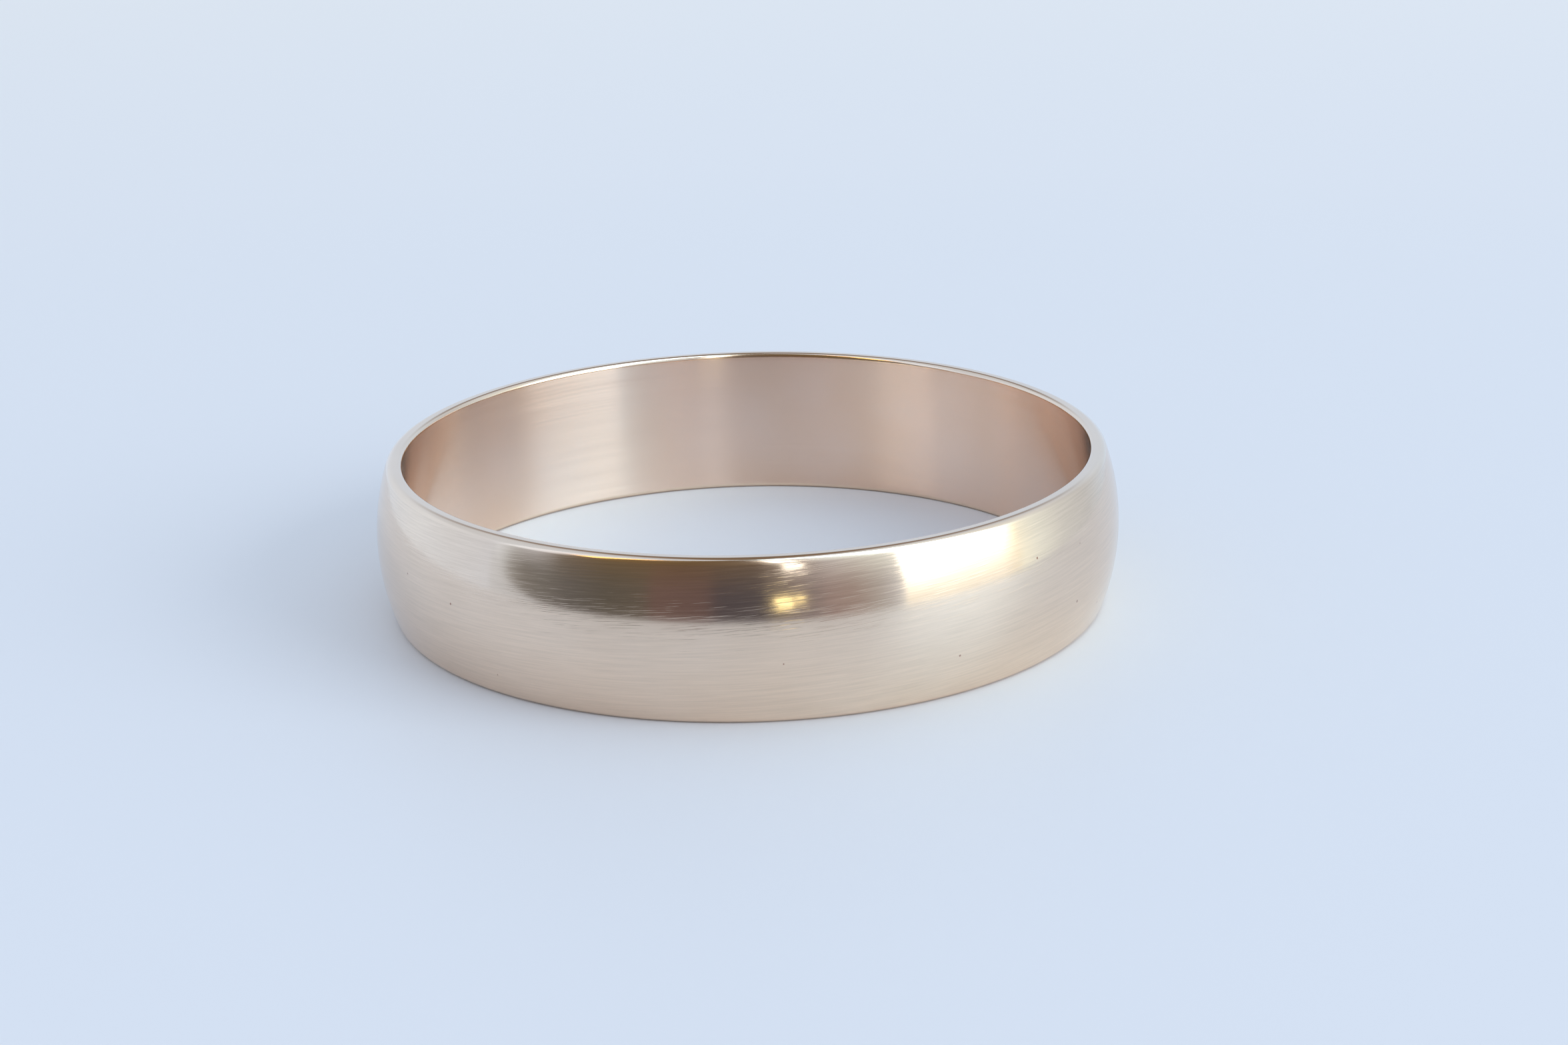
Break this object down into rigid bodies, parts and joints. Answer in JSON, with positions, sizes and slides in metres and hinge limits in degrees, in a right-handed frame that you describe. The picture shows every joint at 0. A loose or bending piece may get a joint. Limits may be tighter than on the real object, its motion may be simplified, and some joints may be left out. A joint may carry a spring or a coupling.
{
  "type": "wedding band",
  "caption": "Plain half-round wedding band: domed outside, flat smooth inside, rounded shoulders that leave a very narrow flat along each side edge.",
  "frame": {"origin": "centre of the finger hole, in the plane of the side edge that the band lies on", "axes": "+Z along the axis of the finger hole; the band looks the same whichever way it is turned about +Z"},
  "size_m": [0.019, 0.019, 0.004],
  "materials": {
    "gold": "satin outside, polished inside"
  },
  "bodies": {
    "root": {"band": "gold"}
  },
  "joints": []
}
